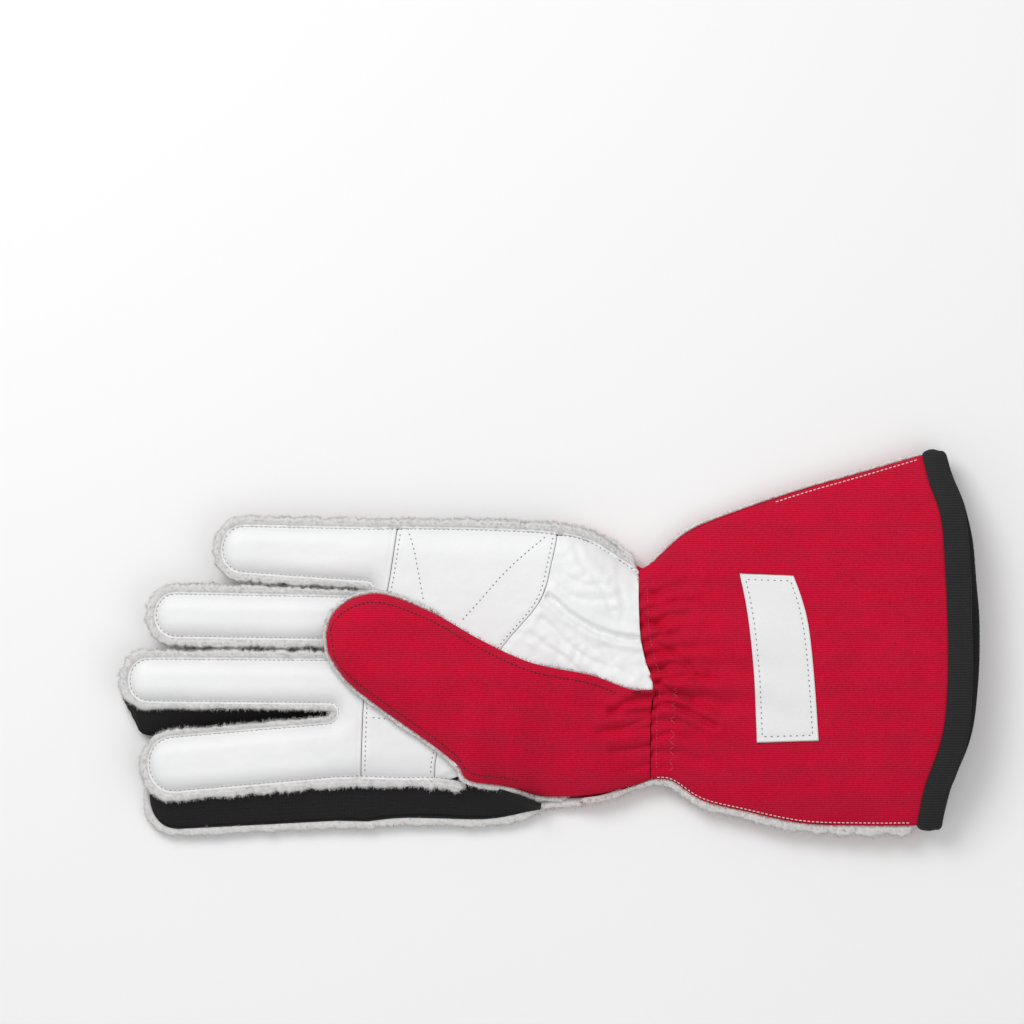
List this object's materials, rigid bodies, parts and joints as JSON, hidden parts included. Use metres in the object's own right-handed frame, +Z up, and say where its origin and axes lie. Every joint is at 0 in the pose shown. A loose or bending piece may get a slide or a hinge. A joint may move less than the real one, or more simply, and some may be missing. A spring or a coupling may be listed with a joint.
{
  "type": "racing glove",
  "caption": "Gauntlet racing glove for the left hand, lying palm up with its thumb folded over the palm; leather palm, knit back, gathered wrist and bound open cuff.",
  "frame": {"origin": "middle of the bounding box's underside, on the surface that the glove lies on", "axes": "+X from the fingertips to the mouth of the cuff, +Y to the little finger's side, +Z up out of the palm"},
  "size_m": [0.3616, 0.1625, 0.0303],
  "materials": {
    "leather": "soft white grain leather, matt with a faint sheen, wrinkled at the heel",
    "red_knit": "crimson ribbed knit, matt",
    "black_knit": "black fine knit, matt",
    "lining": "white frayed fleece lining at the raw seam edges",
    "binding": "soft black knit binding",
    "label": "smooth white woven label, bare",
    "gloss_strip": "glossy black coated strip",
    "badge": "coral printed badge with a white border, bare"
  },
  "bodies": {
    "root": {"finger_palm": "leather", "palm_patch": "leather", "palm_heel": "leather", "back_fingers": "red_knit", "back_panel": "black_knit", "gauntlet_palm": "red_knit", "gauntlet_back": "red_knit", "thumb_back": "red_knit", "thumb_palm": "leather", "fourchette_little_ring": "black_knit", "fourchette_ring_middle": "black_knit", "fourchette_middle_index": "black_knit", "little_sidewall": "black_knit", "index_sidewall": "black_knit", "palm_seam_edge": "lining", "back_seam_edge": "lining", "thumb_seam_edge": "lining", "cuff_edge_thumb_side": "lining", "cuff_edge_outer_side": "lining", "binding": "binding", "cuff_label": "label", "cuff_strip": "gloss_strip", "cuff_badge": "badge"}
  },
  "joints": []
}
